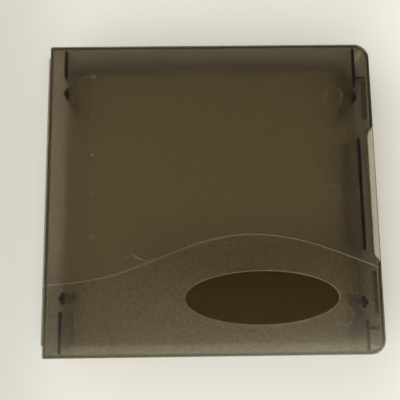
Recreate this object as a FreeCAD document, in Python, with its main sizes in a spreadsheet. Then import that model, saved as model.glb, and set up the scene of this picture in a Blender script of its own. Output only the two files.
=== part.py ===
import FreeCAD, Part
import math
import os
import Sketcher

doc = FreeCAD.newDocument("disk_case")

# Two levels nearer than this are the same level.
TINY = 1e-6
# The wave's line is a cubic curve over four equal spans.
WAVE_KNOTS = [0, 0.25, 0.5, 0.75, 1]
WAVE_REPEATS = [4, 1, 1, 1, 4]
PIP_COUNT = 5

# Driving sizes, in mm. Each row is a name, its size and what it measures.
DRIVING = [
    ("case_width", 102.0, "hinge side to opening side"),
    ("case_depth", 97.0, "near wall to rear wall"),
    ("tray_height", 18.3, "underside of the tray to underside of the lid"),
    ("parting_gap", 0.1, "parting line between the tray's rim and the lid"),
    ("lid_thickness", 1.3, "lid plate"),
    ("wall", 1.2, "tray walls"),
    ("floor", 1.2, "tray floor"),
    ("front_radius", 4.5, "upright corners on the opening side"),
    ("back_radius", 0.6, "upright corners on the hinge side"),
    ("foot_radius", 0.6, "rounded lower edge of the tray"),
    ("inside_radius", 0.5, "inside, floor to walls and back corners"),
    ("rim_radius", 0.45, "rounded upper edge of the lid"),
    ("recess_length", 43.8, "finger recess along the front wall"),
    ("recess_depth", 1.6, "finger recess into the tray"),
    ("recess_run", 4.0, "length of each S-shaped end of the recess"),
    ("rib_setback", 5.35, "side of the case to the inner face of its corner ribs"),
    ("middle_rib_setback", 5.05, "opening side to the inner face of the long rib"),
    ("rib_thickness", 1.0, "corner ribs"),
    ("rib_gap", 0.3, "top of ribs and posts to the lid"),
    ("short_rib", 10.0, "outer end wall to the free end of a short rib"),
    ("long_rib", 13.4, "outer end wall to the free end of a long rib"),
    ("front_rib_length", 35.0, "rib behind the finger recess"),
    ("front_rib_thickness", 1.1, "rib behind the finger recess"),
    ("gusset_thickness", 0.7, "web from a front rib to the front wall"),
    ("gusset_back", 2.1, "free end of a front rib to its gusset"),
    ("post_setback", 5.85, "side of the case to a post's flat"),
    ("post_length", 3.6, "flat of a post"),
    ("post_thickness", 0.9, "flat of a post to its back"),
    ("nub_width", 1.8, "rounded spine on the back of a post"),
    ("nub_height", 0.75, "rounded spine, out from the back of its post"),
    ("short_post", 15.3, "outer end wall to the post by a short rib"),
    ("long_post", 17.4, "outer end wall to the post by a long rib"),
    ("tongue_thickness", 0.9, "latch tongue under the lid"),
    ("tongue_drop", 2.0, "latch tongue, downwards"),
    ("tongue_gap", 0.25, "latch tongue to the front wall"),
    ("tongue_start", 24.0, "middle of the case to a tongue"),
    ("tongue_length", 12.6, "latch tongue along the front wall"),
    ("bead_radius", 0.4, "snap bead on a tongue"),
    ("bead_drop", 1.15, "lid underside to the bead's axis"),
    ("bead_margin", 1.9, "end of a tongue to the end of its bead"),
    ("groove_gap", 0.08, "bead to its groove in the front wall"),
    ("groove_end_gap", 0.6, "end of a bead to the end of its groove"),
    ("edge_radius", 0.15, "softened edges of the rim, the wave and the oval"),
    ("overrun", 2.0, "the wave's cut past the sides of the lid"),
    ("wave_depth", 0.25, "step of the lower field below the upper"),
    ("wave_1", 27.07, "middle of the case to the wave's control points"),
    ("wave_2", 27.16, "the second"),
    ("wave_3", 24.84, "the third"),
    ("wave_4", 11.42, "the fourth"),
    ("wave_5", 12.48, "the fifth"),
    ("wave_6", 20.66, "the sixth"),
    ("wave_7", 23.99, "the seventh, past the opening side"),
    ("oval_across", 14.65, "middle of the case to the oval, across"),
    ("oval_down", 31.5, "middle of the case to the oval, towards near"),
    ("oval_half_length", 23.3, "oval, half its length"),
    ("oval_half_height", 8.0, "oval, half its height"),
    ("oval_depth", 0.3, "oval below the lower field"),
    ("pip_across", 37.0, "middle of the case to the row of pips"),
    ("pip_pitch", 12.75, "pip to pip"),
    ("pip_radius", 0.6, "pip, at its foot"),
    ("pip_height", 0.22, "pip above the lid"),
    ("pin_back", 38.85, "middle of the case to the two pin marks by the hinge"),
    ("pin_front", 39.0, "middle of the case to the pin marks by the opening side's corners"),
    ("pin_middle", 36.8, "middle of the case to the single pin mark"),
    ("pin_back_rear", 35.7, "middle of the case to the rear pin mark by the hinge, along"),
    ("pin_front_rear", 31.0, "middle of the case to the rear pin mark on the opening side, along"),
    ("pin_near", 37.1, "middle of the case to the two near pin marks, along"),
    ("pin_radius", 3.1, "pin mark"),
    ("pin_depth", 0.1, "pin mark into the lid's underside"),
    ("hinge_length", 89.6, "living hinge"),
    ("web_inside", 0.3, "radius inside the folded web"),
    ("web_thickness", 0.4, "living hinge web"),
]

# Positions that follow from the driving sizes.
DERIVED = [
    ("front", "case_width / 2"),
    ("back", "-case_width / 2"),
    ("rear", "case_depth / 2"),
    ("near", "-case_depth / 2"),
    ("front_bend", "front - front_radius"),
    ("back_bend", "back + back_radius"),
    ("rear_front_bend", "rear - front_radius"),
    ("near_front_bend", "near + front_radius"),
    ("rear_back_bend", "rear - back_radius"),
    ("near_back_bend", "near + back_radius"),
    ("recess_end", "recess_length / 2"),
    ("recess_turn", "recess_length / 2 - recess_run / 2"),
    ("recess_flat", "recess_length / 2 - recess_run"),
    ("recess_half", "front - recess_depth / 2"),
    ("recess_face", "front - recess_depth"),
    ("recess_bend", "(recess_run ^ 2 + recess_depth ^ 2) / (4 * recess_depth)"),
    ("minus_recess_end", "-recess_end"),
    ("minus_recess_turn", "-recess_turn"),
    ("minus_recess_flat", "-recess_flat"),
    ("rim_level", "tray_height - parting_gap"),
    ("bay_height", "rim_level - floor"),
    ("bay_front", "front - wall"),
    ("bay_back", "back + wall"),
    ("bay_rear", "rear - wall"),
    ("bay_near", "near + wall"),
    ("bay_front_radius", "front_radius - wall"),
    ("bay_back_bend", "bay_back + inside_radius"),
    ("bay_rear_bend", "bay_rear - inside_radius"),
    ("bay_near_bend", "bay_near + inside_radius"),
    ("bay_recess_half", "recess_half - wall * (1 - recess_depth / (2 * recess_bend))"),
    ("bay_recess_face", "recess_face - wall"),
    ("bay_recess_turn", "recess_turn + wall * recess_run / (2 * recess_bend)"),
    ("minus_bay_recess_turn", "-bay_recess_turn"),
    ("bay_outer_bend", "recess_bend - wall"),
    ("bay_inner_bend", "recess_bend + wall"),
    ("rib_top", "tray_height - rib_gap"),
    ("front_rib_in", "front - rib_setback"),
    ("front_rib_out", "front - rib_setback + rib_thickness"),
    ("back_rib_in", "back + rib_setback"),
    ("back_rib_out", "back + rib_setback - rib_thickness"),
    ("rear_wall_mid", "rear - wall / 2"),
    ("near_wall_mid", "near + wall / 2"),
    ("front_wall_mid", "front - wall / 2"),
    ("rear_short_end", "rear - short_rib"),
    ("rear_long_end", "rear - long_rib"),
    ("near_short_end", "near + short_rib"),
    ("near_long_end", "near + long_rib"),
    ("rear_gusset_in", "rear_long_end + gusset_back"),
    ("rear_gusset_out", "rear_gusset_in + gusset_thickness"),
    ("near_gusset_in", "near_short_end - gusset_back"),
    ("near_gusset_out", "near_gusset_in - gusset_thickness"),
    ("middle_rib_in", "front - middle_rib_setback"),
    ("middle_rib_out", "front - middle_rib_setback + front_rib_thickness"),
    ("middle_rib_end", "front_rib_length / 2"),
    ("minus_middle_rib_end", "-front_rib_length / 2"),
    ("front_post_in", "front - post_setback"),
    ("front_post_out", "front - post_setback + post_thickness"),
    ("back_post_in", "back + post_setback"),
    ("back_post_out", "back + post_setback - post_thickness"),
    ("nub_bend", "(nub_width ^ 2 / 4 + nub_height ^ 2) / (2 * nub_height)"),
    ("rear_short_post", "rear - short_post"),
    ("rear_short_post_far", "rear_short_post + post_length / 2"),
    ("rear_short_post_close", "rear_short_post - post_length / 2"),
    ("rear_short_nub_far", "rear_short_post + nub_width / 2"),
    ("rear_short_nub_close", "rear_short_post - nub_width / 2"),
    ("rear_long_post", "rear - long_post"),
    ("rear_long_post_far", "rear_long_post + post_length / 2"),
    ("rear_long_post_close", "rear_long_post - post_length / 2"),
    ("rear_long_nub_far", "rear_long_post + nub_width / 2"),
    ("rear_long_nub_close", "rear_long_post - nub_width / 2"),
    ("near_short_post", "near + short_post"),
    ("near_short_post_far", "near_short_post - post_length / 2"),
    ("near_short_post_close", "near_short_post + post_length / 2"),
    ("near_short_nub_far", "near_short_post - nub_width / 2"),
    ("near_short_nub_close", "near_short_post + nub_width / 2"),
    ("near_long_post", "near + long_post"),
    ("near_long_post_far", "near_long_post - post_length / 2"),
    ("near_long_post_close", "near_long_post + post_length / 2"),
    ("near_long_nub_far", "near_long_post - nub_width / 2"),
    ("near_long_nub_close", "near_long_post + nub_width / 2"),
    ("tongue_out", "front - wall - tongue_gap"),
    ("tongue_in", "tongue_out - tongue_thickness"),
    ("tongue_end", "tongue_start + tongue_length"),
    ("tongue_middle", "tongue_start + tongue_length / 2"),
    ("minus_tongue_start", "-tongue_start"),
    ("minus_tongue_end", "-tongue_end"),
    ("bead_length", "tongue_length - 2 * bead_margin"),
    ("groove_length", "bead_length + 2 * groove_end_gap"),
    ("groove_radius", "bead_radius + groove_gap"),
    ("groove_level", "tray_height - bead_drop"),
    ("bead_level", "-bead_drop"),
    ("past_front", "front + overrun"),
    ("past_back", "back - overrun"),
    ("past_near", "near - overrun"),
    ("slab_front", "front + overrun / 2"),
    ("slab_back", "back - overrun / 2"),
    ("slab_rear", "rear + overrun / 2"),
    ("slab_near", "near - overrun / 2"),
    ("slab_foot", "-lid_thickness"),
    ("slab_height", "2 * lid_thickness"),
    ("wave_across_1", "past_back"),
    ("wave_across_2", "past_back + (past_front - past_back) / 12"),
    ("wave_across_3", "past_back + (past_front - past_back) / 4"),
    ("wave_across_4", "past_back + (past_front - past_back) / 2"),
    ("wave_across_5", "past_back + (past_front - past_back) * 3 / 4"),
    ("wave_across_6", "past_back + (past_front - past_back) * 11 / 12"),
    ("wave_across_7", "past_front"),
    ("wave_along_1", "-wave_1"),
    ("wave_along_2", "-wave_2"),
    ("wave_along_3", "-wave_3"),
    ("wave_along_4", "-wave_4"),
    ("wave_along_5", "-wave_5"),
    ("wave_along_6", "-wave_6"),
    ("wave_along_7", "-wave_7"),
    ("lower_field", "lid_thickness - wave_depth"),
    ("oval_along", "-oval_down"),
    ("pip_row", "-pip_across"),
    ("pip_run", f"pip_pitch * {PIP_COUNT - 1}"),
    ("pip_sink", "-pip_height"),
    ("pip_ball", "(pip_radius ^ 2 + pip_height ^ 2) / (2 * pip_height)"),
    ("minus_pin_back", "-pin_back"),
    ("minus_pin_near", "-pin_near"),
    ("web_outside", "web_inside + web_thickness"),
    ("minus_web_inside", "-web_inside"),
    ("minus_web_outside", "-web_outside"),
]

sheet = doc.addObject("Spreadsheet::Sheet", "Sizes")
for row, (name, length, meaning) in enumerate(DRIVING, start=1):
    sheet.set(f"A{row}", meaning)
    sheet.set(f"B{row}", str(length))
    sheet.setAlias(f"B{row}", name)
doc.recompute()
for row, (name, formula) in enumerate(DERIVED, start=len(DRIVING) + 2):
    sheet.set(f"A{row}", "follows from the sizes above")
    sheet.set(f"B{row}", "=" + formula)
    sheet.setAlias(f"B{row}", name)
    doc.recompute()


def size(name):
    """The number that a name in the sheet stands for now. No name is the middle of the sketch."""
    return float(getattr(sheet, name)) if name else 0.0


def bind(target, path, name):
    """Tie a property of a feature to a name in the sheet."""
    target.setExpression(path, f"Sizes.{name}")


def plane(body, role):
    """One of the body's own origin planes or axes."""
    return next(f for f in body.Origin.OriginFeatures if f.Role == role)


def new_body(label):
    """An empty body with its label."""
    body = doc.addObject("PartDesign::Body", label)
    body.Label = label
    return body


def new_sketch(body, name, role="XY_Plane", level=None):
    """A sketch on an origin plane of the body, raised to a level named in the sheet."""
    sketch = body.newObject("Sketcher::SketchObject", name)
    sketch.AttachmentSupport = [(plane(body, role), "")]
    sketch.MapMode = "FlatFace"
    if level:
        bind(sketch, "AttachmentOffset.Base.z", level)
    doc.recompute()
    return sketch


def pin_point(sketch, geometry, point, across, along):
    """Hold a point of the sketch at two positions named in the sheet, or on an axis if there is no name."""
    for kind, name, axis in (("DistanceX", across, -2), ("DistanceY", along, -1)):
        if not name:
            sketch.addConstraint(Sketcher.Constraint("PointOnObject", geometry, point, axis))
            continue
        index = sketch.addConstraint(
            Sketcher.Constraint(kind, -1, 1, geometry, point, size(name))
        )
        bind(sketch, f"Constraints[{index}]", name)


def arc_between(start, end, radius, turn):
    """The arc that leaves start, turns left (1) or right (-1) by under 180 degrees and meets end."""
    chord = end - start
    half = chord.Length / 2
    rise = math.sqrt(max(radius ** 2 - half ** 2, 0.0))
    left = FreeCAD.Vector(-chord.y, chord.x, 0).normalize()
    centre = (start + end) * 0.5 + left * (rise * turn)
    first, last = (start, end) if turn > 0 else (end, start)
    begin = math.atan2(first.y - centre.y, first.x - centre.x)
    finish = math.atan2(last.y - centre.y, last.x - centre.x)
    if finish < begin:
        finish += 2 * math.pi
    circle = Part.Circle(centre, FreeCAD.Vector(0, 0, 1), radius)
    return Part.ArcOfCircle(circle, begin, finish)


def closed_profile(sketch, corners, bends=None):
    """A closed outline through corners named in the sheet. A side in bends is an arc: its radius and turn."""
    bends = bends or {}
    spots = [FreeCAD.Vector(size(a), size(b), 0) for a, b in corners]
    sides = []
    for i, start in enumerate(spots):
        end = spots[(i + 1) % len(spots)]
        if i in bends:
            radius, turn = bends[i]
            index = sketch.addGeometry(arc_between(start, end, size(radius), turn))
            sides.append((index, 1, 2) if turn > 0 else (index, 2, 1))
        else:
            index = sketch.addGeometry(Part.LineSegment(start, end))
            sides.append((index, 1, 2))
    for i, (index, first, last) in enumerate(sides):
        after, after_first, _ = sides[(i + 1) % len(sides)]
        sketch.addConstraint(Sketcher.Constraint("Coincident", index, last, after, after_first))
    for (index, first, _), (across, along) in zip(sides, corners):
        pin_point(sketch, index, first, across, along)
    for i, (radius, _) in bends.items():
        held = sketch.addConstraint(
            Sketcher.Constraint("Radius", sides[i][0], size(radius))
        )
        bind(sketch, f"Constraints[{held}]", radius)


def circle_at(sketch, across, along, radius):
    """A circle with its centre and radius named in the sheet."""
    centre = FreeCAD.Vector(size(across), size(along), 0)
    index = sketch.addGeometry(Part.Circle(centre, FreeCAD.Vector(0, 0, 1), size(radius)))
    pin_point(sketch, index, 3, across, along)
    held = sketch.addConstraint(Sketcher.Constraint("Radius", index, size(radius)))
    bind(sketch, f"Constraints[{held}]", radius)


def pad(body, name, sketch, length, down=False, both=False):
    """Material from a sketch, along its normal, against it, or half each way."""
    feature = body.newObject("PartDesign::Pad", name)
    feature.Profile = sketch
    feature.Reversed = down
    feature.SideType = "Symmetric" if both else "One side"
    bind(feature, "Length", length)
    doc.recompute()
    return feature


def pocket(body, name, sketch, length, up=False):
    """Material taken away from a sketch, against its normal or along it."""
    before = body.Shape.Volume
    feature = body.newObject("PartDesign::Pocket", name)
    feature.Profile = sketch
    feature.Reversed = up
    bind(feature, "Length", length)
    doc.recompute()
    if body.Shape.Volume >= before:
        raise RuntimeError(f"{name} takes nothing away")
    return feature


def edges_where(shape, test):
    """Names of a shape's edges that pass a test."""
    return [f"Edge{i}" for i, edge in enumerate(shape.Edges, start=1) if test(edge)]


def fillet(body, name, feature, edges, radius):
    """A round of a size named in the sheet along some edges of a feature."""
    rounded = body.newObject("PartDesign::Fillet", name)
    rounded.Base = (feature, edges)
    bind(rounded, "Radius", radius)
    doc.recompute()
    return rounded


# Base tray: a block with the finger recess, hollowed from above, then rounded at the foot.
base = new_body("base_tray")
outline = new_sketch(base, "tray_outline")
closed_profile(
    outline,
    [
        ("back_bend", "near"),
        ("front_bend", "near"),
        ("front", "near_front_bend"),
        ("front", "minus_recess_end"),
        ("recess_half", "minus_recess_turn"),
        ("recess_face", "minus_recess_flat"),
        ("recess_face", "recess_flat"),
        ("recess_half", "recess_turn"),
        ("front", "recess_end"),
        ("front", "rear_front_bend"),
        ("front_bend", "rear"),
        ("back_bend", "rear"),
        ("back", "rear_back_bend"),
        ("back", "near_back_bend"),
    ],
    {
        1: ("front_radius", 1),
        3: ("recess_bend", 1),
        4: ("recess_bend", -1),
        6: ("recess_bend", -1),
        7: ("recess_bend", 1),
        9: ("front_radius", 1),
        11: ("back_radius", 1),
        13: ("back_radius", 1),
    },
)
pad(base, "tray_block", outline, "rim_level")
bay = new_sketch(base, "bay_outline", level="rim_level")
closed_profile(
    bay,
    [
        ("bay_back_bend", "bay_near"),
        ("front_bend", "bay_near"),
        ("bay_front", "near_front_bend"),
        ("bay_front", "minus_recess_end"),
        ("bay_recess_half", "minus_bay_recess_turn"),
        ("bay_recess_face", "minus_recess_flat"),
        ("bay_recess_face", "recess_flat"),
        ("bay_recess_half", "bay_recess_turn"),
        ("bay_front", "recess_end"),
        ("bay_front", "rear_front_bend"),
        ("front_bend", "bay_rear"),
        ("bay_back_bend", "bay_rear"),
        ("bay_back", "bay_rear_bend"),
        ("bay_back", "bay_near_bend"),
    ],
    {
        1: ("bay_front_radius", 1),
        3: ("bay_outer_bend", 1),
        4: ("bay_inner_bend", -1),
        6: ("bay_inner_bend", -1),
        7: ("bay_outer_bend", 1),
        9: ("bay_front_radius", 1),
        11: ("inside_radius", 1),
        13: ("inside_radius", 1),
    },
)
hollow = pocket(base, "tray_bay", bay, "bay_height")

foot = fillet(
    base,
    "tray_foot",
    hollow,
    edges_where(hollow.Shape, lambda e: e.BoundBox.ZMax < TINY),
    "foot_radius",
)


def on_floor(edge):
    """True for an edge that lies in the tray's inner floor."""
    box = edge.BoundBox
    return abs(box.ZMin - size("floor")) < TINY and abs(box.ZMax - size("floor")) < TINY


bottom = fillet(base, "tray_floor", foot, edges_where(foot.Shape, on_floor), "inside_radius")
rim_face = next(f for f in bottom.Shape.Faces if f.BoundBox.ZMin > size("rim_level") - TINY)
rim_edges = rim_face.OuterWire.Edges
fillet(
    base,
    "tray_rim",
    bottom,
    edges_where(bottom.Shape, lambda e: any(e.isSame(side) for side in rim_edges)),
    "edge_radius",
)

# Ribs that stop the disks short of the hinge and the rounded corners. Each starts in an end wall;
# those on the opening side are braced to the front wall by a gusset.
ribs = new_sketch(base, "rib_plan")
closed_profile(
    ribs,
    [
        ("back_rib_out", "rear_short_end"),
        ("back_rib_in", "rear_short_end"),
        ("back_rib_in", "rear_wall_mid"),
        ("back_rib_out", "rear_wall_mid"),
    ],
)
closed_profile(
    ribs,
    [
        ("back_rib_out", "near_wall_mid"),
        ("back_rib_in", "near_wall_mid"),
        ("back_rib_in", "near_long_end"),
        ("back_rib_out", "near_long_end"),
    ],
)
closed_profile(
    ribs,
    [
        ("front_rib_in", "rear_long_end"),
        ("front_rib_out", "rear_long_end"),
        ("front_rib_out", "rear_gusset_in"),
        ("front_wall_mid", "rear_gusset_in"),
        ("front_wall_mid", "rear_gusset_out"),
        ("front_rib_out", "rear_gusset_out"),
        ("front_rib_out", "rear_wall_mid"),
        ("front_rib_in", "rear_wall_mid"),
    ],
)
closed_profile(
    ribs,
    [
        ("front_rib_in", "near_wall_mid"),
        ("front_rib_out", "near_wall_mid"),
        ("front_rib_out", "near_gusset_out"),
        ("front_wall_mid", "near_gusset_out"),
        ("front_wall_mid", "near_gusset_in"),
        ("front_rib_out", "near_gusset_in"),
        ("front_rib_out", "near_short_end"),
        ("front_rib_in", "near_short_end"),
    ],
)
closed_profile(
    ribs,
    [
        ("middle_rib_in", "minus_middle_rib_end"),
        ("middle_rib_out", "minus_middle_rib_end"),
        ("middle_rib_out", "middle_rib_end"),
        ("middle_rib_in", "middle_rib_end"),
    ],
)
pad(base, "tray_ribs", ribs, "rib_top")

# Posts, one beside each corner rib: a flat towards the disks, stiffened by a rounded spine behind it.
posts = new_sketch(base, "post_plan")
post_places = [
    ("back", "rear_short", 1),
    ("back", "near_long", -1),
    ("front", "rear_long", -1),
    ("front", "near_short", 1),
]
for side, end, turn in post_places:
    closed_profile(
        posts,
        [
            (f"{side}_post_in", f"{end}_post_close"),
            (f"{side}_post_in", f"{end}_post_far"),
            (f"{side}_post_out", f"{end}_post_far"),
            (f"{side}_post_out", f"{end}_nub_far"),
            (f"{side}_post_out", f"{end}_nub_close"),
            (f"{side}_post_out", f"{end}_post_close"),
        ],
        {3: ("nub_bend", turn)},
    )
pad(base, "tray_posts", posts, "rib_top")


def latch_bars(body, kind, part, level):
    """Two round bars along the tongues' outer faces, one on each side of the recess."""
    for end, middle in (("rear", "-Sizes.tongue_middle"), ("near", "Sizes.tongue_middle")):
        bar = body.newObject(kind, f"{end}_{part}")
        bind(bar, "Radius", f"{part}_radius")
        bind(bar, "Height", f"{part}_length")
        bar.AttachmentSupport = [(plane(body, "XZ_Plane"), "")]
        bar.MapMode = "FlatFace"
        bind(bar, "AttachmentOffset.Base.x", "tongue_out")
        bind(bar, "AttachmentOffset.Base.y", level)
        bar.setExpression("AttachmentOffset.Base.z", f"{middle} - Sizes.{part}_length / 2")
        doc.recompute()


# Grooves in the front wall that the lid's snap beads drop into.
latch_bars(base, "PartDesign::SubtractiveCylinder", "groove", "groove_level")

# Wave: the near part of the lid's face lies a little lower, up to a flowing line. The step is cut
# in a slab wider than the lid, so that its softened edge runs clean off both sides.
slab = new_body("wave_slab")
slab_outline = new_sketch(slab, "slab_outline", level="slab_foot")
closed_profile(
    slab_outline,
    [
        ("slab_back", "slab_near"),
        ("slab_front", "slab_near"),
        ("slab_front", "slab_rear"),
        ("slab_back", "slab_rear"),
    ],
)
pad(slab, "slab_block", slab_outline, "slab_height")
wave = new_sketch(slab, "wave_line", level="lid_thickness")
control = [(f"wave_across_{i}", f"wave_along_{i}") for i in range(1, 8)]
poles = [FreeCAD.Vector(size(a), size(b), 0) for a, b in control]
curve = Part.BSplineCurve()
curve.buildFromPolesMultsKnots(poles, WAVE_REPEATS, WAVE_KNOTS, False, 3)
flow = wave.addGeometry(curve)
wave.exposeInternalGeometry(flow)
handles = [i for i, g in enumerate(wave.Geometry) if isinstance(g, Part.Circle)]
for handle, (across, along) in zip(handles, control):
    pin_point(wave, handle, 3, across, along)
end = FreeCAD.Vector(size("past_front"), size("past_near"), 0)
start = FreeCAD.Vector(size("past_back"), size("past_near"), 0)
down = wave.addGeometry(Part.LineSegment(poles[-1], end))
across = wave.addGeometry(Part.LineSegment(end, start))
up = wave.addGeometry(Part.LineSegment(start, poles[0]))
wave.addConstraint(Sketcher.Constraint("Coincident", flow, 2, down, 1))
wave.addConstraint(Sketcher.Constraint("Coincident", down, 2, across, 1))
wave.addConstraint(Sketcher.Constraint("Coincident", across, 2, up, 1))
wave.addConstraint(Sketcher.Constraint("Coincident", up, 2, flow, 1))
pin_point(wave, across, 1, "past_front", "past_near")
pin_point(wave, across, 2, "past_back", "past_near")
lower = pocket(slab, "lower_face", wave, "wave_depth")


def at_level(edge, kind, level):
    """True for a curve of one kind that lies at a level named in the sheet."""
    box = edge.BoundBox
    flat = box.ZMax - box.ZMin < TINY and abs(box.ZMax - size(level)) < TINY
    return flat and isinstance(edge.Curve, kind)


fillet(
    slab,
    "wave_edge",
    lower,
    edges_where(lower.Shape, lambda e: at_level(e, Part.BSplineCurve, "lid_thickness")),
    "edge_radius",
)

# Lid: a plate of the tray's outline without the recess, so that its edge is the finger lip.
lid = new_body("lid")
bind(lid, "Placement.Base.z", "tray_height")
plate_outline = new_sketch(lid, "lid_outline")
closed_profile(
    plate_outline,
    [
        ("back_bend", "near"),
        ("front_bend", "near"),
        ("front", "near_front_bend"),
        ("front", "rear_front_bend"),
        ("front_bend", "rear"),
        ("back_bend", "rear"),
        ("back", "rear_back_bend"),
        ("back", "near_back_bend"),
    ],
    {
        1: ("front_radius", 1),
        3: ("front_radius", 1),
        5: ("back_radius", 1),
        7: ("back_radius", 1),
    },
)
plate = pad(lid, "lid_plate", plate_outline, "lid_thickness")
fillet(
    lid,
    "lid_rim",
    plate,
    edges_where(plate.Shape, lambda e: e.BoundBox.ZMin > size("lid_thickness") - TINY),
    "rim_radius",
)
stepped_face = lid.newObject("PartDesign::Boolean", "stepped_face")
stepped_face.Type = "Common"
stepped_face.setObjects([slab])
doc.recompute()

# Oval: a shallow polished dish in the lower field, left bare.
oval = new_sketch(lid, "oval_line", level="lower_field")
centre = FreeCAD.Vector(size("oval_across"), size("oval_along"), 0)
long_end = centre + FreeCAD.Vector(size("oval_half_length"), 0, 0)
high_end = centre + FreeCAD.Vector(0, size("oval_half_height"), 0)
ring = oval.addGeometry(Part.Ellipse(long_end, high_end, centre))
oval.exposeInternalGeometry(ring)
pin_point(oval, ring, 3, "oval_across", "oval_along")
oval.addConstraint(Sketcher.Constraint("Horizontal", 1))
for axis_line, name in ((1, "oval_half_length"), (2, "oval_half_height")):
    held = oval.addConstraint(Sketcher.Constraint("Distance", axis_line, 2 * size(name)))
    oval.setExpression(f"Constraints[{held}]", f"2 * Sizes.{name}")
dish = pocket(lid, "oval_dish", oval, "oval_depth")
fillet(
    lid,
    "oval_edge",
    dish,
    edges_where(dish.Shape, lambda e: at_level(e, Part.Ellipse, "lower_field")),
    "edge_radius",
)

# Latch tongues under the lid's front edge, one on each side of the recess, with a snap bead each.
tongues = new_sketch(lid, "tongue_plan")
closed_profile(
    tongues,
    [
        ("tongue_in", "tongue_start"),
        ("tongue_out", "tongue_start"),
        ("tongue_out", "tongue_end"),
        ("tongue_in", "tongue_end"),
    ],
)
closed_profile(
    tongues,
    [
        ("tongue_in", "minus_tongue_end"),
        ("tongue_out", "minus_tongue_end"),
        ("tongue_out", "minus_tongue_start"),
        ("tongue_in", "minus_tongue_start"),
    ],
)
pad(lid, "lid_tongues", tongues, "tongue_drop", down=True)
latch_bars(lid, "PartDesign::AdditiveCylinder", "bead", "bead_level")

# Pin marks: shallow round prints of the mould's ejector pins in the lid's underside.
pins = new_sketch(lid, "pin_plan")
circle_at(pins, "minus_pin_back", "pin_back_rear", "pin_radius")
circle_at(pins, "minus_pin_back", "minus_pin_near", "pin_radius")
circle_at(pins, "pin_front", "pin_front_rear", "pin_radius")
circle_at(pins, "pin_front", "minus_pin_near", "pin_radius")
circle_at(pins, "pin_middle", None, "pin_radius")
pocket(lid, "pin_marks", pins, "pin_depth", up=True)

# Pips: a row of low domes along the hinge side of the upper field.
dome = new_sketch(lid, "pip_profile", role="XZ_Plane", level="pip_pitch")
bind(dome, "AttachmentOffset.Base.x", "pip_row")
bind(dome, "AttachmentOffset.Base.y", "lid_thickness")
closed_profile(
    dome,
    [
        (None, "pip_sink"),
        ("pip_radius", "pip_sink"),
        ("pip_radius", None),
        (None, "pip_height"),
    ],
    {2: ("pip_ball", 1)},
)
pip = lid.newObject("PartDesign::Revolution", "pip")
pip.Profile = dome
pip.ReferenceAxis = (dome, ["V_Axis"])
pip.Angle = 360
doc.recompute()
pips = lid.newObject("PartDesign::LinearPattern", "pips")
pips.Originals = [pip]
pips.Direction = (plane(lid, "Y_Axis"), [""])
bind(pips, "Length", "pip_run")
pips.Occurrences = PIP_COUNT
lid.Tip = pips
doc.recompute()

# Living hinge: a thin web folded into a half ring outside the parting line, short of both corners.
hinge = new_body("living_hinge")
bind(hinge, "Placement.Base.x", "back")
bind(hinge, "Placement.Base.z", "tray_height")
fold = new_sketch(hinge, "fold_profile", role="XZ_Plane")
closed_profile(
    fold,
    [
        (None, "web_outside"),
        ("minus_web_outside", None),
        (None, "minus_web_outside"),
        (None, "minus_web_inside"),
        ("minus_web_inside", None),
        (None, "web_inside"),
    ],
    {
        0: ("web_outside", 1),
        1: ("web_outside", 1),
        3: ("web_inside", -1),
        4: ("web_inside", -1),
    },
)
pad(hinge, "web", fold, "hinge_length", both=True)

doc.recompute()
for item in doc.Objects:
    if "Invalid" in item.State or "Error" in item.State:
        raise RuntimeError(f"{item.Label} did not build: {item.State}")
os.makedirs("parts", exist_ok=True)
for body in (base, lid, hinge):
    shape = body.Shape
    if shape.isNull() or not shape.isValid() or len(shape.Solids) != 1:
        raise RuntimeError(f"{body.Label} is not one valid solid")
    print(body.Label, round(shape.Volume, 1), "mm3")
    shape.exportStep(f"parts/{body.Label}.step")
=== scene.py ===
import math

import bpy
import numpy as np
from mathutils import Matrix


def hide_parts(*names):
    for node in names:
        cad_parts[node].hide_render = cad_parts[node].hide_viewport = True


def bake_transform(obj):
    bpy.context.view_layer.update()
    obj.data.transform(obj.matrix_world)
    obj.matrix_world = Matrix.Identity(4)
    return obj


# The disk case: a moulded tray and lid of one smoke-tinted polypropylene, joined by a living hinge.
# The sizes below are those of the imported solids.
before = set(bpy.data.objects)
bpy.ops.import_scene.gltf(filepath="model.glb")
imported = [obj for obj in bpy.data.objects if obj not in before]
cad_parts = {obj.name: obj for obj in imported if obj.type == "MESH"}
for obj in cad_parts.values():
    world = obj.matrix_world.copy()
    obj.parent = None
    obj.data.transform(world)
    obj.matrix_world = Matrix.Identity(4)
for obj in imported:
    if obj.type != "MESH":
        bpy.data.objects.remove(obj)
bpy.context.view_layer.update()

# Base tray: floor, walls, ribs, gussets and posts in one injection moulding, about 1.2 mm thick.
# Polypropylene is cloudy and refracts like most plastics; the smoke tint is dyed right through it,
# so a wall seen on edge is far darker than the same wall seen across its thickness.
MM = 0.001


def linear(hex_colour):
    """An sRGB hex colour as linear red, green, blue and an alpha of 1."""
    channels = np.array([int(hex_colour[i : i + 2], 16) for i in (1, 3, 5)]) / 255.0
    low = channels / 12.92
    high = ((channels + 0.055) / 1.055) ** 2.4
    return (*np.where(channels <= 0.04045, low, high).tolist(), 1.0)


def add(material, kind, inputs=None, **settings):
    """Adds a node with its settings. An input is a plain value, or another node's output."""
    tree = material.node_tree
    node = tree.nodes.new(kind)
    for name, value in settings.items():
        setattr(node, name, value)
    for name, value in (inputs or {}).items():
        if isinstance(value, bpy.types.NodeSocket):
            tree.links.new(value, node.inputs[name])
        else:
            node.inputs[name].default_value = value
    return node


def new_material(name):
    """An empty node material and its output node."""
    material = bpy.data.materials.new(name)
    material.use_nodes = True
    material.node_tree.nodes.clear()
    return material, add(material, "ShaderNodeOutputMaterial")


SMOKE_TINT = "#e0d9c8"
PLASTIC_IOR = 1.49
CLEAR_SHARE = 0.995


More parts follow.
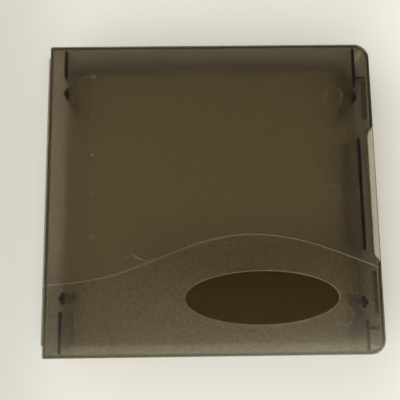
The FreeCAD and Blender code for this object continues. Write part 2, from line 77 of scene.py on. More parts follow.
def smoke_plastic(name, density, finish):
    """Dyed polypropylene: cloudy refraction at the skin, and a tint that grows with the length of
    plastic looked through, at the density given per metre."""
    material, output = new_material(name)
    looks = {"IOR": PLASTIC_IOR} | finish(material)
    skin = add(material, "ShaderNodeBsdfPrincipled", looks)
    tint = add(
        material,
        "ShaderNodeVolumeAbsorption",
        {"Color": linear(SMOKE_TINT), "Density": density},
    )
    material.node_tree.links.new(skin.outputs["BSDF"], output.inputs["Surface"])
    material.node_tree.links.new(tint.outputs["Volume"], output.inputs["Volume"])
    return material


def dress(node_name, material):
    """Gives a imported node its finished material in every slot."""
    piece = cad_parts[node_name]
    for slot in piece.material_slots:
        slot.material = material


def layered(material, kind, ground, *layers):
    """A ground value or colour with others laid over it in turn, each as far as its mask goes."""
    first, second, result = {"FLOAT": (2, 3, 0), "RGBA": (6, 7, 2)}[kind]
    mixed = ground
    for mask, value in layers:
        mix = add(
            material,
            "ShaderNodeMix",
            {0: mask, first: mixed, second: value},
            data_type=kind,
        )
        mixed = mix.outputs[result]
    return mixed


def spot(material, point, centre, half_length, half_width, turn=0.0, soft=1.0):
    """1 in an ellipse in plan, turned by an angle, fading to 0 over its soft outer share."""
    local = add(
        material,
        "ShaderNodeMapping",
        {
            "Vector": point,
            "Location": centre,
            "Rotation": (0.0, 0.0, turn),
            "Scale": (half_length, half_width, 1.0),
        },
        vector_type="TEXTURE",
    )
    plan = add(
        material,
        "ShaderNodeVectorMath",
        {0: local.outputs[0], 1: (1.0, 1.0, 0.0)},
        operation="MULTIPLY",
    )
    away = add(material, "ShaderNodeVectorMath", {0: plan.outputs[0]}, operation="LENGTH")
    mask = add(
        material,
        "ShaderNodeMapRange",
        {"Value": away.outputs["Value"], "From Min": 1.0, "From Max": 1.0 - soft},
        interpolation_type="SMOOTHSTEP",
    )
    return mask.outputs[0]


TRAY_DENSITY = 600.0
OUTER_SKIN_X = 49.85 * MM
OUTER_SKIN_Y = 47.35 * MM
RECESS_SKIN_X = 48.8 * MM
RECESS_SHIFT = 1.6 * MM
RECESS_TURN = 18.1 * MM
RECESS_RUN = 4.0 * MM
RIB_MIDDLE = 46.0 * MM
RIB_REACH = 1.3 * MM
RIB_FOOT = 1.8 * MM
RIB_TOP = 17.9 * MM
POST_MIDDLE = 32.0 * MM
POST_REACH = 2.8 * MM
POST_SHOULDER = 16.0 * MM
RIM_FACE = 18.1 * MM
CASE_HALF_WIDTH = 51.0 * MM
CASE_HALF_DEPTH = 48.5 * MM
FRONT_CORNER = 4.5 * MM
BACK_CORNER = 1.6 * MM
# Inset and half width of the pale line painted as a highlight along the rim's inner edge.
PALE_LINE_INSET = 1.05 * MM
PALE_LINE_HALF = 0.2 * MM
# Where the painted shade at the near end of the hinge wall starts, and where it is full.
HINGE_SHADE_STARTS = -10.0 * MM
HINGE_SHADE_FULL = -34.0 * MM
FLOW_WAVE = 9.0 * MM
# A wide band of painted shade on the tray's floor in front: its centre, half length and half width.
BAND_CENTRE = (16.0 * MM, -19.0 * MM, 0.0)
BAND_HALF_LENGTH = 80.0 * MM
BAND_HALF_WIDTH = 21.0 * MM

# The frosted walls' real grain is under 0.1 mm. It is drawn at 0.4 mm, as fine as still shows.
WALL_GRAIN = 0.4 * MM
WALL_GRAIN_HEIGHT = 0.006 * MM

# How rough each skin is, how much of it stays clear, and the usual range of a noise.
INSIDE_ROUGHNESS = (0.18, 0.26)
RIB_ROUGHNESS = 0.06
FROSTED_ROUGHNESS = 0.4
RIM_CLEAR = 0.7
PALE_LINE_CLEAR = 0.5
NOISE_LOW = 0.3
NOISE_HIGH = 0.7


def tray_finish(material):
    """Injection-moulded: frosted and grained on the outside of the walls, whose colour is painted
    shade that makes them look dark and soft, with painted light on the near and hinge sides and
    painted shade at the near end of the hinge wall; smooth inside, with a faint flow of the melt,
    so the ribs stay crisp, with the tops of the ribs and the heads of the posts painted dark as
    shade. A wide band in front is painted shade, a pale line along the rim's inner edge is a
    painted highlight, and the rim's face scatters light."""
    place = add(material, "ShaderNodeTexCoord")
    point = place.outputs["Object"]
    split = add(material, "ShaderNodeSeparateXYZ", {0: point})
    x = split.outputs["X"]
    y = split.outputs["Y"]
    z = split.outputs["Z"]
    across = add(material, "ShaderNodeMath", {0: x}, operation="ABSOLUTE").outputs[0]
    along = add(material, "ShaderNodeMath", {0: y}, operation="ABSOLUTE").outputs[0]

    # Outer skins of the walls, with the finger recess set back from the front one.
    outside_x = add(
        material, "ShaderNodeMath", {0: across, 1: OUTER_SKIN_X}, operation="GREATER_THAN"
    )
    outside_y = add(
        material, "ShaderNodeMath", {0: along, 1: OUTER_SKIN_Y}, operation="GREATER_THAN"
    )
    recess_skin = add(
        material,
        "ShaderNodeMapRange",
        {
            "Value": along,
            "From Min": RECESS_TURN,
            "From Max": RECESS_TURN + RECESS_RUN,
            "To Min": RECESS_SKIN_X,
            "To Max": RECESS_SKIN_X + RECESS_SHIFT,
        },
    )
    recess = add(
        material,
        "ShaderNodeMath",
        {0: x, 1: recess_skin.outputs[0]},
        operation="GREATER_THAN",
    )
    sides = add(
        material,
        "ShaderNodeMath",
        {0: outside_x.outputs[0], 1: outside_y.outputs[0]},
        operation="MAXIMUM",
    )
    outside = add(
        material,
        "ShaderNodeMath",
        {0: sides.outputs[0], 1: recess.outputs[0]},
        operation="MAXIMUM",
    )
    # Painted light on the near and hinge walls, and painted shade towards the near end of the hinge
    # wall.
    near_wall = add(material, "ShaderNodeMath", {0: y, 1: -OUTER_SKIN_Y}, operation="LESS_THAN")
    hinge_wall = add(material, "ShaderNodeMath", {0: x, 1: -OUTER_SKIN_X}, operation="LESS_THAN")
    near_end = add(
        material,
        "ShaderNodeMapRange",
        {"Value": y, "From Min": HINGE_SHADE_STARTS, "From Max": HINGE_SHADE_FULL},
        interpolation_type="SMOOTHSTEP",
    )
    hinge_wall_painted_shade = add(
        material,
        "ShaderNodeMath",
        {0: hinge_wall.outputs[0], 1: near_end.outputs[0]},
        operation="MULTIPLY",
    )

    # Ribs and posts; the tops that are looked down through are painted dark as shade.
    by_rib = add(
        material,
        "ShaderNodeMath",
        {0: across, 1: RIB_MIDDLE, 2: RIB_REACH},
        operation="COMPARE",
    )
    off_floor = add(material, "ShaderNodeMath", {0: z, 1: RIB_FOOT}, operation="GREATER_THAN")
    rib = add(
        material,
        "ShaderNodeMath",
        {0: by_rib.outputs[0], 1: off_floor.outputs[0]},
        operation="MULTIPLY",
    )
    on_top = add(material, "ShaderNodeMath", {0: z, 1: RIB_TOP}, operation="GREATER_THAN")
    rib_top_painted_dark = add(
        material,
        "ShaderNodeMath",
        {0: by_rib.outputs[0], 1: on_top.outputs[0]},
        operation="MULTIPLY",
    )
    by_post = add(
        material,
        "ShaderNodeMath",
        {0: along, 1: POST_MIDDLE, 2: POST_REACH},
        operation="COMPARE",
    )
    high_up = add(material, "ShaderNodeMath", {0: z, 1: POST_SHOULDER}, operation="GREATER_THAN")
    upper_post = add(
        material,
        "ShaderNodeMath",
        {0: by_post.outputs[0], 1: high_up.outputs[0]},
        operation="MULTIPLY",
    )
    post_head_painted_dark = add(
        material,
        "ShaderNodeMath",
        {0: by_rib.outputs[0], 1: upper_post.outputs[0]},
        operation="MULTIPLY",
    )

    # The rim's face, and a painted highlight as a pale line along its inner edge, at one distance
    # from the outline.
    on_rim = add(material, "ShaderNodeMath", {0: z, 1: RIM_FACE}, operation="GREATER_THAN")
    front_half = add(material, "ShaderNodeMath", {0: x, 1: 0.0}, operation="GREATER_THAN")
    corner = add(
        material,
        "ShaderNodeMath",
        {0: front_half.outputs[0], 1: FRONT_CORNER - BACK_CORNER, 2: BACK_CORNER},
        operation="MULTIPLY_ADD",
    )
    bend = add(
        material,
        "ShaderNodeCombineXYZ",
        {"X": corner.outputs[0], "Y": corner.outputs[0]},
    )
    plan = add(material, "ShaderNodeCombineXYZ", {"X": across, "Y": along})
    shifted = add(
        material,
        "ShaderNodeVectorMath",
        {0: plan.outputs[0], 1: bend.outputs[0]},
        operation="ADD",
    )
    overhang = add(
        material,
        "ShaderNodeVectorMath",
        {0: shifted.outputs[0], 1: (CASE_HALF_WIDTH, CASE_HALF_DEPTH, 0.0)},
        operation="SUBTRACT",
    )
    outer_part = add(
        material,
        "ShaderNodeVectorMath",
        {0: overhang.outputs[0], 1: (0.0, 0.0, 0.0)},
        operation="MAXIMUM",
    )
    reach = add(material, "ShaderNodeVectorMath", {0: outer_part.outputs[0]}, operation="LENGTH")
    from_outline = add(
        material,
        "ShaderNodeMath",
        {0: reach.outputs["Value"], 1: corner.outputs[0]},
        operation="SUBTRACT",
    )
    by_inner_edge = add(
        material,
        "ShaderNodeMath",
        {0: from_outline.outputs[0], 1: -PALE_LINE_INSET, 2: PALE_LINE_HALF},
        operation="COMPARE",
    )
    painted_highlight_line = add(
        material,
        "ShaderNodeMath",
        {0: by_inner_edge.outputs[0], 1: on_rim.outputs[0]},
        operation="MULTIPLY",
    )

    # Grain of the frosted skins, and the slow flow of the melt in the smooth ones.
    grain = add(
        material,
        "ShaderNodeTexNoise",
        {"Vector": point, "Scale": 1.0 / WALL_GRAIN, "Detail": 2.0},
    )
    height = add(
        material,
        "ShaderNodeMath",
        {0: grain.outputs[0], 1: outside.outputs[0]},
        operation="MULTIPLY",
    )
    bump = add(
        material,
        "ShaderNodeBump",
        {"Height": height.outputs[0], "Distance": WALL_GRAIN_HEIGHT},
    )
    flow = add(
        material,
        "ShaderNodeTexNoise",
        {"Vector": point, "Scale": 1.0 / FLOW_WAVE, "Detail": 3.0},
    )
    smooth = add(
        material,
        "ShaderNodeMapRange",
        {
            "Value": flow.outputs[0],
            "From Min": NOISE_LOW,
            "From Max": NOISE_HIGH,
            "To Min": INSIDE_ROUGHNESS[0],
            "To Max": INSIDE_ROUGHNESS[1],
        },
    )
    painted_shade_band = spot(material, point, BAND_CENTRE, BAND_HALF_LENGTH, BAND_HALF_WIDTH)
    return {
        "Base Color": layered(
            material,
            "RGBA",
            linear("#fdfbf6"),
            (flow.outputs[0], linear("#f6f1e6")),
            # A wide band in front is painted darker as shade.
            (painted_shade_band, linear("#e4dfd6")),
            # The tops of the ribs and the heads of the posts are painted dark as shade.
            (rib_top_painted_dark.outputs[0], linear("#242019")),
            (post_head_painted_dark.outputs[0], linear("#242019")),
            # The outer skins are painted dark as shade, paler with painted light on the near and
            # hinge walls, and darker again with painted shade at the hinge wall's near end.
            (outside.outputs[0], linear("#6c665f")),
            (near_wall.outputs[0], linear("#d2cbc0")),
            (hinge_wall.outputs[0], linear("#c2b6b4")),
            (hinge_wall_painted_shade.outputs[0], linear("#8a8280")),
            (on_rim.outputs[0], linear("#c8c2b4")),
            # The pale line along the rim's inner edge is a painted highlight.
            (painted_highlight_line.outputs[0], linear("#efeadf")),
        ),
        "Transmission Weight": layered(
            material,
            "FLOAT",
            CLEAR_SHARE,
            (on_rim.outputs[0], RIM_CLEAR),
            # The painted highlight line is also less clear.
            (painted_highlight_line.outputs[0], PALE_LINE_CLEAR),
        ),
        "Roughness": layered(
            material,
            "FLOAT",
            smooth.outputs[0],
            (rib.outputs[0], RIB_ROUGHNESS),
            (outside.outputs[0], FROSTED_ROUGHNESS),
        ),
        "Specular Tint": linear("#585858"),
        "Normal": bump.outputs[0],
    }


dress("base_tray", smoke_plastic("moulded_smoke_polypropylene", TRAY_DENSITY, tray_finish))

# Living hinge: a web of the same plastic, 0.4 mm thin, folded round the closed case's parting line.
# It is moulded in one shot with the tray and the lid, and the fold has turned whitish from bending.
HINGE_BACK = -51.0 * MM
HINGE_LEVEL = 18.3 * MM
WEB_INSIDE = 0.3 * MM
WEB_OUTSIDE = 0.7 * MM
WEB_HALF_LENGTH = 44.8 * MM
WEB_THINNING = 0.07 * MM
WEB_CLEARANCE = 0.015 * MM
WEB_END_ROUND = 0.35 * MM
WEB_END_SHARE = 0.45


def folded_web(along_count=120, round_count=28):
    """A half ring carried along the hinge. The inner wall is a plain arc. The outer wall dips by
    the thinning times the squared cosine of the angle, most where the fold works. Both close in on
    the middle of the web at its two ends, along a quarter round."""
    slack = math.asin(WEB_CLEARANCE / WEB_INSIDE)
    angle = np.linspace(math.pi / 2 + slack, 3 * math.pi / 2 - slack, round_count)
    turn = np.concatenate([angle, angle[::-1]])
    outer = WEB_OUTSIDE - WEB_THINNING * np.cos(angle) ** 2
    inner = np.full(round_count, WEB_INSIDE)
    radius = np.concatenate([outer, inner])
    middle = np.concatenate([(outer + inner) / 2, ((outer + inner) / 2)[::-1]])
    along = WEB_HALF_LENGTH * np.sin(np.linspace(-math.pi / 2, math.pi / 2, along_count))
    past = np.clip((np.abs(along) - WEB_HALF_LENGTH + WEB_END_ROUND) / WEB_END_ROUND, 0.0, 1.0)
    fullness = WEB_END_SHARE + (1.0 - WEB_END_SHARE) * np.sqrt(1.0 - past**2)
    reach = middle[None, :] + (radius - middle)[None, :] * fullness[:, None]
    x = HINGE_BACK + reach * np.cos(turn)[None, :]
    z = HINGE_LEVEL + reach * np.sin(turn)[None, :]
    y = np.broadcast_to(along[:, None], x.shape)
    points = np.stack([x, y, z], axis=-1).reshape(-1, 3)
    ring = 2 * round_count
    row = np.arange(along_count - 1)[:, None] * ring
    column = np.arange(ring)[None, :]
    beside = (np.arange(ring)[None, :] + 1) % ring
    near = [row + column, row + ring + column]
    far = [row + ring + beside, row + beside]
    sides = np.stack(near + far, axis=-1)
    strip = np.arange(round_count - 1)
    cap = np.stack([strip, strip + 1, ring - 2 - strip, ring - 1 - strip], axis=-1)
    far_cap = cap[:, ::-1] + (along_count - 1) * ring
    faces = np.concatenate([sides.reshape(-1, 4), cap, far_cap])
    return points, faces


web_points, web_faces = folded_web()
web_mesh = bpy.data.meshes.new("hinge_web")
web_mesh.from_pydata(web_points.tolist(), [], web_faces.tolist())
web_mesh.shade_smooth()
web = bpy.data.objects.new("hinge_web", web_mesh)
bpy.context.scene.collection.objects.link(web)

FOLD_START = -51.3 * MM
FOLD_END = -51.7 * MM
CREASE_SPACING = 0.8 * MM
WEB_ROUGHNESS = 0.4
CREASE_ROUGHNESS = 0.6
WEB_CLEAR = 0.96
CREASE_CLEAR = 0.85


def hinge_finish(material):
    """Satin web with fine wrinkles, whitened and less clear towards the fold's outermost line,
    where bending has opened tiny voids in the plastic."""
    place = add(material, "ShaderNodeTexCoord")
    split = add(material, "ShaderNodeSeparateXYZ", {0: place.outputs["Object"]})
    crease = add(
        material,
        "ShaderNodeTexNoise",
        {"Vector": place.outputs["Object"], "Scale": 1.0 / CREASE_SPACING, "Detail": 3.0},
    )
    fold = add(
        material,
        "ShaderNodeMapRange",
        {"Value": split.outputs["X"], "From Min": FOLD_START, "From Max": FOLD_END},
    )
    worked = add(
        material,
        "ShaderNodeMath",
        {0: fold.outputs[0], 1: crease.outputs[0]},
        operation="MULTIPLY",
    ).outputs[0]
    bump = add(
        material,
        "ShaderNodeBump",
        {"Height": crease.outputs[0], "Distance": WALL_GRAIN_HEIGHT},
    )
    tone = layered(material, "RGBA", linear("#c4bcab"), (worked, linear("#efe9dc")))
    return {
        "Base Color": tone,
        "Roughness": layered(material, "FLOAT", WEB_ROUGHNESS, (worked, CREASE_ROUGHNESS)),
        "Transmission Weight": layered(material, "FLOAT", WEB_CLEAR, (worked, CREASE_CLEAR)),
        "Specular Tint": linear("#c0c0c0"),
        "Normal": bump.outputs[0],
    }


web_mesh.materials.append(smoke_plastic("bent_smoke_polypropylene", TRAY_DENSITY, hinge_finish))
dress("living_hinge", web_mesh.materials[0])
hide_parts("living_hinge")
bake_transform(web)

# Lid: a plate of the same plastic, moulded with a wave-shaped step, a satin upper field, a finely
# grained lower field and a polished oval. It turns on the hinge and snaps shut with two tongues.
# Its rounded rim looks down the length of the walls, so it shows as a dark line, which is painted
# shade in its colour.
LID_DENSITY = 655.0
LID_TOP = 19.6 * MM
WAVE_DEPTH = 0.25 * MM
OVAL_DEPTH = 0.3 * MM
LOWER_LEVEL = LID_TOP - WAVE_DEPTH
OVAL_LEVEL = LOWER_LEVEL - OVAL_DEPTH
LEVEL_REACH = 0.1 * MM
PIN_LEVEL = 18.4 * MM
UNDERSIDE = 18.45 * MM
TONGUE_ROOT = 18.1 * MM
NARROW_REACH = 0.02 * MM
RIM_INNER_X = 50.4 * MM
RIM_INNER_Y = 47.9 * MM
SLOPE_STARTS = 0.97
SLOPE_FULL = 0.86
OVAL_CENTRE = (14.65 * MM, -31.5 * MM, 0.0)
OVAL_HALF_LENGTH = 23.3 * MM
OVAL_HALF_HEIGHT = 8.0 * MM
OVAL_SOFT = 0.01
NEAR_BLUR_START = -20.0 * MM
NEAR_BLUR_END = -26.0 * MM
PIP_ROW = -37.0 * MM
PIP_REACH = 1.0 * MM
PIP_LAST = -15.0 * MM
# The share of the steps' painted highlight that the pips get.
PIP_HIGHLIGHT_SHARE = 0.18

# The real grains are under 0.1 mm. They are drawn coarser, as fine as still shows at this distance.
LOWER_GRAIN = 0.6 * MM
SATIN_GRAIN = 0.3 * MM
GRAIN_HEIGHT = 0.007 * MM
MOTTLE = 1.3 * MM
SMUDGE = 14.0 * MM
SPECK_LOW = 0.35
SPECK_HIGH = 0.65

# Hairline scratches, and the small marks in millimetres: centre, half length, half width, turn.
SCRATCH_LENGTH = 30.0 * MM
SCRATCH_PITCH = 0.9 * MM
SCRATCH_TURN = 0.35
SCRATCH_LOW = 0.66
SCRATCH_HIGH = 0.74
SCRATCH_SHARE = 0.012
MARK_SOFT = 0.8
DARK_SPECKS = [((8.04, -3.55), 0.5, 0.4, 0.3), ((0.33, 14.0), 2.2, 0.22, -0.55)]
PALE_SCUFFS = [
    ((-23.4, -18.8), 0.4, 0.9, 0.3),
    ((-25.9, -19.0), 0.8, 0.35, -0.2),
    ((-24.5, -18.2), 0.6, 0.4, 0.4),
    ((-22.0, -19.5), 0.8, 0.4, -0.3),
    ((-21.0, -18.7), 0.45, 0.35, 0.0),
    ((-19.9, -20.0), 0.9, 0.35, -0.4),
    ((-18.5, -21.1), 0.6, 0.35, -0.2),
    ((-16.1, -21.7), 0.7, 0.3, 0.2),
    ((-35.22, 17.43), 0.35, 0.3, 0.0),
    ((-34.69, 3.63), 0.35, 0.3, 0.0),
    ((-29.45, 2.63), 0.35, 0.3, 0.0),
    ((-7.77, -2.44), 0.35, 0.3, 0.0),
    ((33.8, 6.0), 0.3, 1.5, 0.15),
]

# Ejector pins leave five round marks; a faint ring shows at the edge of each, in millimetres.
PIN_MARKS = [(-38.85, 35.7), (39.0, 31.0), (36.8, 0.0), (-38.85, -37.1), (39.0, -37.1)]
PIN_RADIUS = 3.1
PIN_RING = 0.6
PIN_SOFT = 0.05

# How rough each skin is, and how much of each mark stays clear.
SKIN_ROUGHNESS = 0.1
NEAR_UNDER_ROUGHNESS = 0.22
SATIN_ROUGHNESS = (0.31, 0.37)
LOWER_ROUGHNESS = 0.18
OVAL_ROUGHNESS = 0.08
STEP_CLEAR = 0.77
SCUFF_CLEAR = 0.91
RING_CLEAR = 0.97


def lid_finish(material):
    """One moulded plate with three textures: satin above the wave, which veils what lies below;
    fine grain under it, which takes the sheen of the window; and a polished oval, deep and clear,
    whose darker brown is partly painted shade. Sharp steps show as pale lines of painted highlight,
    the rim is painted dark as shade, and wear shows as hairlines, scuffs and specks."""
    place = add(material, "ShaderNodeTexCoord")
    point = place.outputs["Object"]
    split = add(material, "ShaderNodeSeparateXYZ", {0: point})
    x = split.outputs["X"]
    y = split.outputs["Y"]
    z = split.outputs["Z"]
    across = add(material, "ShaderNodeMath", {0: x}, operation="ABSOLUTE").outputs[0]
    along = add(material, "ShaderNodeMath", {0: y}, operation="ABSOLUTE").outputs[0]

    # The three levels of the top, and the pin marks and tongues below.
    upper = add(
        material, "ShaderNodeMath", {0: z, 1: LID_TOP, 2: LEVEL_REACH}, operation="COMPARE"
    ).outputs[0]
    lower = add(
        material, "ShaderNodeMath", {0: z, 1: LOWER_LEVEL, 2: LEVEL_REACH}, operation="COMPARE"
    ).outputs[0]
    deep = add(
        material, "ShaderNodeMath", {0: z, 1: OVAL_LEVEL, 2: LEVEL_REACH}, operation="COMPARE"
    ).outputs[0]
    pin = add(
        material, "ShaderNodeMath", {0: z, 1: PIN_LEVEL, 2: NARROW_REACH}, operation="COMPARE"
    )
    tongue = add(material, "ShaderNodeMath", {0: z, 1: TONGUE_ROOT}, operation="LESS_THAN")
    in_oval = spot(
        material, point, OVAL_CENTRE, OVAL_HALF_LENGTH, OVAL_HALF_HEIGHT, soft=OVAL_SOFT
    )
    oval = add(material, "ShaderNodeMath", {0: deep, 1: in_oval}, operation="MULTIPLY").outputs[0]

    # Slopes of the plate: the steps inside the rim, painted pale as a highlight, with the pips
    # fainter, and the rim itself, painted dark as shade.
    facing = add(material, "ShaderNodeSeparateXYZ", {0: place.outputs["Normal"]})
    flat = add(
        material,
        "ShaderNodeMapRange",
        {"Value": facing.outputs["Z"], "From Min": SLOPE_FULL, "From Max": SLOPE_STARTS},
    )
    sloped = add(material, "ShaderNodeMath", {0: 1.0, 1: flat.outputs[0]}, operation="SUBTRACT")
    above = add(
        material,
        "ShaderNodeMath",
        {0: z, 1: OVAL_LEVEL - NARROW_REACH},
        operation="GREATER_THAN",
    )
    inside_x = add(
        material, "ShaderNodeMath", {0: across, 1: RIM_INNER_X}, operation="LESS_THAN"
    )
    inside_y = add(material, "ShaderNodeMath", {0: along, 1: RIM_INNER_Y}, operation="LESS_THAN")
    inside = add(
        material,
        "ShaderNodeMath",
        {0: inside_x.outputs[0], 1: inside_y.outputs[0]},
        operation="MULTIPLY",
    )
    step_slope = add(
        material,
        "ShaderNodeMath",
        {0: sloped.outputs[0], 1: inside.outputs[0]},
        operation="MULTIPLY",
    )
    any_step = add(
        material,
        "ShaderNodeMath",
        {0: step_slope.outputs[0], 1: above.outputs[0]},
        operation="MULTIPLY",
    )
    by_pips = add(
        material, "ShaderNodeMath", {0: x, 1: PIP_ROW, 2: PIP_REACH}, operation="COMPARE"
    )
    up_pips = add(material, "ShaderNodeMath", {0: y, 1: PIP_LAST}, operation="GREATER_THAN")
    pips = add(
        material,
        "ShaderNodeMath",
        {0: by_pips.outputs[0], 1: up_pips.outputs[0]},
        operation="MULTIPLY",
    )
    off_pips = add(
        material,
        "ShaderNodeMath",
        {0: pips.outputs[0], 1: PIP_HIGHLIGHT_SHARE - 1.0, 2: 1.0},
        operation="MULTIPLY_ADD",
    )
    step = add(
        material,
        "ShaderNodeMath",
        {0: any_step.outputs[0], 1: off_pips.outputs[0]},
        operation="MULTIPLY",
    ).outputs[0]
    outside = add(material, "ShaderNodeMath", {0: 1.0, 1: inside.outputs[0]}, operation="SUBTRACT")
    rim = add(
        material,
        "ShaderNodeMath",
        {0: sloped.outputs[0], 1: outside.outputs[0]},
        operation="MULTIPLY",
    )
    hinge_side = add(material, "ShaderNodeMath", {0: x, 1: -RIM_INNER_X}, operation="LESS_THAN")
    hinge_rim = add(
        material,
        "ShaderNodeMath",
        {0: rim.outputs[0], 1: hinge_side.outputs[0]},
        operation="MULTIPLY",
    )

    # The underside is duller near the front, where the grain of the lower field lies above it.
    under = add(material, "ShaderNodeMath", {0: z, 1: UNDERSIDE}, operation="LESS_THAN")
    nearer = add(
        material,
        "ShaderNodeMapRange",
        {"Value": y, "From Min": NEAR_BLUR_START, "From Max": NEAR_BLUR_END},
        interpolation_type="SMOOTHSTEP",
    )
    near_under = add(
        material,
        "ShaderNodeMath",
        {0: under.outputs[0], 1: nearer.outputs[0]},
        operation="MULTIPLY",
    )

    # Grain of the two fields, mottling of the melt, and smudges in the satin.
    grain = add(
        material,
        "ShaderNodeTexNoise",
        {"Vector": point, "Scale": 1.0 / LOWER_GRAIN, "Detail": 2.0},
    )
    satin = add(
        material,
        "ShaderNodeTexNoise",
        {"Vector": point, "Scale": 1.0 / SATIN_GRAIN, "Detail": 2.0},
    )
    height = layered(
        material,
        "FLOAT",
        0.0,
        (upper, satin.outputs[0]),
        (lower, grain.outputs[0]),
    )
    bump = add(material, "ShaderNodeBump", {"Height": height, "Distance": GRAIN_HEIGHT})
    mottle = add(
        material,
        "ShaderNodeTexNoise",
        {"Vector": point, "Scale": 1.0 / MOTTLE, "Detail": 5.0, "Roughness": 0.65},
    )
    mottled = add(
        material,
        "ShaderNodeMapRange",
        {"Value": mottle.outputs[0], "From Min": SPECK_LOW, "From Max": SPECK_HIGH},
    )
    specked = add(
        material,
        "ShaderNodeMapRange",
        {"Value": grain.outputs[0], "From Min": SPECK_LOW, "From Max": SPECK_HIGH},
    )
    lower_specked = add(
        material, "ShaderNodeMath", {0: specked.outputs[0], 1: lower}, operation="MULTIPLY"
    )
    smudge = add(
        material,
        "ShaderNodeTexNoise",
        {"Vector": point, "Scale": 1.0 / SMUDGE, "Detail": 4.0},
    )
    satin_gloss = add(
        material,
        "ShaderNodeMapRange",
        {
            "Value": smudge.outputs[0],
            "From Min": NOISE_LOW,
            "From Max": NOISE_HIGH,
            "To Min": SATIN_ROUGHNESS[0],
            "To Max": SATIN_ROUGHNESS[1],
        },
    )

    # Hairline scratches of the satin: noise stretched along one direction, cut to its crests.
    brushed = add(
        material,
        "ShaderNodeMapping",
        {
            "Vector": point,
            "Rotation": (0.0, 0.0, SCRATCH_TURN),
            "Scale": (1.0 / SCRATCH_LENGTH, 1.0 / SCRATCH_PITCH, 1.0),
        },
    )
    hairline = add(
        material,
        "ShaderNodeTexNoise",
        {"Vector": brushed.outputs[0], "Scale": 1.0, "Detail": 2.0},
    )
    scratch = add(
        material,
        "ShaderNodeMapRange",
        {
            "Value": hairline.outputs[0],
            "From Min": SCRATCH_LOW,
            "From Max": SCRATCH_HIGH,
            "To Max": SCRATCH_SHARE,
        },
    )
    scratched = add(
        material, "ShaderNodeMath", {0: scratch.outputs[0], 1: upper}, operation="MULTIPLY"
    )

    tone = layered(
        material,
        "RGBA",
        linear("#fdfbf6"),
        (mottled.outputs[0], linear("#eeeade")),
        (lower_specked.outputs[0], linear("#d3cdc0")),
        (pin.outputs[0], linear("#efe7d8")),
        (tongue.outputs[0], linear("#bcb4a4")),
        # The oval's darker brown is partly painted shade, over the darkness that its polish gives.
        (oval, linear("#64542f")),
        # The rim is painted dark as shade, and less dark on the hinge side, as painted light.
        (rim.outputs[0], linear("#38342b")),
        (hinge_rim.outputs[0], linear("#b4ae9c")),
        # The steps are painted pale as a highlight, the pips with a smaller share of it.
        (step, linear("#ece2c6")),
    )
    for (mark_x, mark_y), length, width, turn in DARK_SPECKS:
        centre = (mark_x * MM, mark_y * MM, 0.0)
        speck = spot(material, point, centre, length * MM, width * MM, turn, MARK_SOFT)
        tone = layered(material, "RGBA", tone, (speck, linear("#b9ae9a")))
    clear = layered(
        material,
        "FLOAT",
        CLEAR_SHARE,
        (scratched.outputs[0], 0.0),
        # The painted highlight of the steps also lowers their clear share.
        (step, STEP_CLEAR),
    )
    for (mark_x, mark_y), length, width, turn in PALE_SCUFFS:
        centre = (mark_x * MM, mark_y * MM, 0.0)
        scuff = spot(material, point, centre, length * MM, width * MM, turn, MARK_SOFT)
        clear = layered(material, "FLOAT", clear, (scuff, SCUFF_CLEAR))
    for mark_x, mark_y in PIN_MARKS:
        centre = (mark_x * MM, mark_y * MM, 0.0)
        rim_radius = PIN_RADIUS * MM
        core_radius = (PIN_RADIUS - PIN_RING) * MM
        disc = spot(material, point, centre, rim_radius, rim_radius, soft=PIN_SOFT)
        core = spot(material, point, centre, core_radius, core_radius, soft=PIN_SOFT)
        ring = add(material, "ShaderNodeMath", {0: disc, 1: core}, operation="SUBTRACT")
        clear = layered(material, "FLOAT", clear, (ring.outputs[0], RING_CLEAR))
    return {
        "Base Color": tone,
        "Roughness": layered(
            material,
            "FLOAT",
            SKIN_ROUGHNESS,
            (near_under.outputs[0], NEAR_UNDER_ROUGHNESS),
            (upper, satin_gloss.outputs[0]),
            (lower, LOWER_ROUGHNESS),
            (oval, OVAL_ROUGHNESS),
        ),
        "Specular Tint": layered(
            material,
            "RGBA",
            linear("#585858"),
            (upper, linear("#4c4c44")),
            (lower, linear("#9c9a8e")),
            (oval, linear("#888888")),
            (step, linear("#ffffff")),
        ),
        "Transmission Weight": clear,
        "Normal": bump.outputs[0],
    }


dress("lid", smoke_plastic("satin_smoke_polypropylene", LID_DENSITY, lid_finish))

# Floor: a plain pale cloth, wide enough to fill every view. Beside the hinge a soft patch of
# painted shade makes it greyer, and beside the opening a patch of painted light makes it paler,
# which evens out the light of the room.
FLOOR_HALF = 1.2
FLOOR_LEVEL = -0.02 * MM
TONE_HALF_DEPTH = 220.0 * MM
GREY_CENTRE = (-95.0 * MM, 0.0, 0.0)
GREY_HALF_WIDTH = 60.0 * MM
GREY_SOFT = 0.6
PALE_CENTRE = (95.0 * MM, 0.0, 0.0)
PALE_HALF_WIDTH = 48.0 * MM
PALE_SOFT = 0.5


def flat_sheet(name, half, level):
    """A square sheet of the given half width at one level, facing up."""
    mesh = bpy.data.meshes.new(name)
    corners = half * np.array([[-1, -1, 0], [1, -1, 0], [1, 1, 0], [-1, 1, 0]])
    corners[:, 2] = level
    mesh.from_pydata(corners.tolist(), [], [(0, 1, 2, 3)])
    sheet = bpy.data.objects.new(name, mesh)
    bpy.context.scene.collection.objects.link(sheet)
    return sheet


floor = flat_sheet("floor", FLOOR_HALF, FLOOR_LEVEL)
cloth, cloth_output = new_material("pale_cloth")
cloth_point = add(cloth, "ShaderNodeTexCoord").outputs["Object"]
